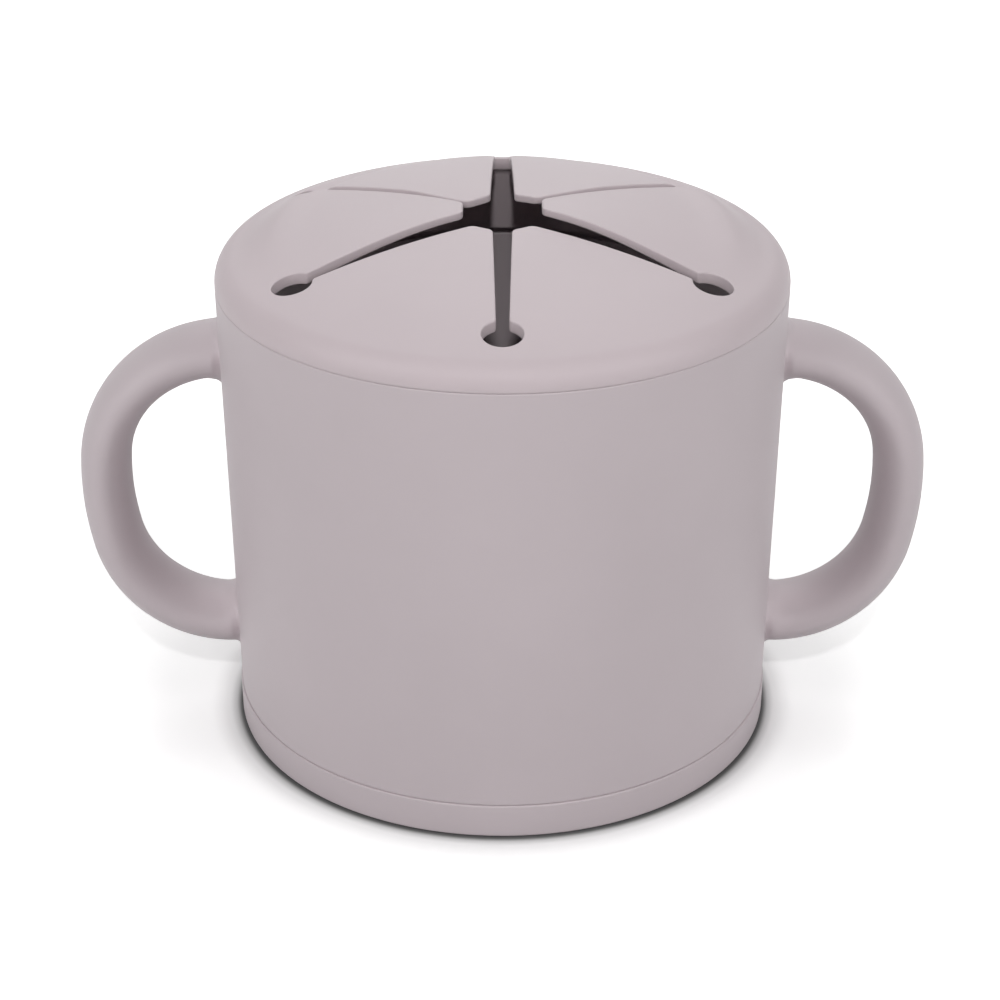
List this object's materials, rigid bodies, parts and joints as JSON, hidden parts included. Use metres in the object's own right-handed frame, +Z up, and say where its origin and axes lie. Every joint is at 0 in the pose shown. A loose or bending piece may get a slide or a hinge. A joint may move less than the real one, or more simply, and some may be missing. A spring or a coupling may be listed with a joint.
{
  "type": "toddler snack container",
  "caption": "Two-handled toddler snack cup with a soft lift-off lid, slit into bending flaps so that a small hand can reach in while the snacks stay inside.",
  "frame": {"origin": "on the table, below the middle of the cup", "axes": "+X towards the right handle, +Y away from the viewer, +Z up through the lid"},
  "size_m": [0.134, 0.088, 0.0842],
  "materials": {
    "cup_silicone": "matte pale mauve grey",
    "foot_silicone": "matte, slightly darker mauve grey",
    "lid_silicone": "matte pale mauve grey, slightly lighter"
  },
  "bodies": {
    "cup": {"cup_body": "cup_silicone", "base_foot": "foot_silicone", "handle_left": "cup_silicone", "handle_right": "cup_silicone"},
    "lid": {"lid_ring": "lid_silicone"},
    "flap_1": {"flap_1": "lid_silicone"},
    "flap_2": {"flap_2": "lid_silicone"},
    "flap_3": {"flap_3": "lid_silicone"},
    "flap_4": {"flap_4": "lid_silicone"},
    "flap_5": {"flap_5": "lid_silicone"},
    "flap_6": {"flap_6": "lid_silicone"}
  },
  "joints": [
    {"name": "lid_lift", "type": "slide", "parent": "cup", "child": "lid", "axis": [0, 0, 1], "range_m": [0, 0.03]},
    {"name": "flap_1_bend", "type": "hinge", "parent": "lid", "child": "flap_1", "pos_m": [0.03083, 0, 0.07995], "axis": [0, -1, 0], "range_deg": [-45, 70], "stiffness_Nm_per_rad": 0.008},
    {"name": "flap_2_bend", "type": "hinge", "parent": "lid", "child": "flap_2", "pos_m": [0.01541, 0.0267, 0.07995], "axis": [0.866, -0.5, 0], "range_deg": [-45, 70], "stiffness_Nm_per_rad": 0.008},
    {"name": "flap_3_bend", "type": "hinge", "parent": "lid", "child": "flap_3", "pos_m": [-0.01541, 0.0267, 0.07995], "axis": [0.866, 0.5, 0], "range_deg": [-45, 70], "stiffness_Nm_per_rad": 0.008},
    {"name": "flap_4_bend", "type": "hinge", "parent": "lid", "child": "flap_4", "pos_m": [-0.03083, 0, 0.07995], "axis": [0, 1, 0], "range_deg": [-45, 70], "stiffness_Nm_per_rad": 0.008},
    {"name": "flap_5_bend", "type": "hinge", "parent": "lid", "child": "flap_5", "pos_m": [-0.01541, -0.0267, 0.07995], "axis": [-0.866, 0.5, 0], "range_deg": [-45, 70], "stiffness_Nm_per_rad": 0.008},
    {"name": "flap_6_bend", "type": "hinge", "parent": "lid", "child": "flap_6", "pos_m": [0.01541, -0.0267, 0.07995], "axis": [-0.866, -0.5, 0], "range_deg": [-45, 70], "stiffness_Nm_per_rad": 0.008}
  ]
}
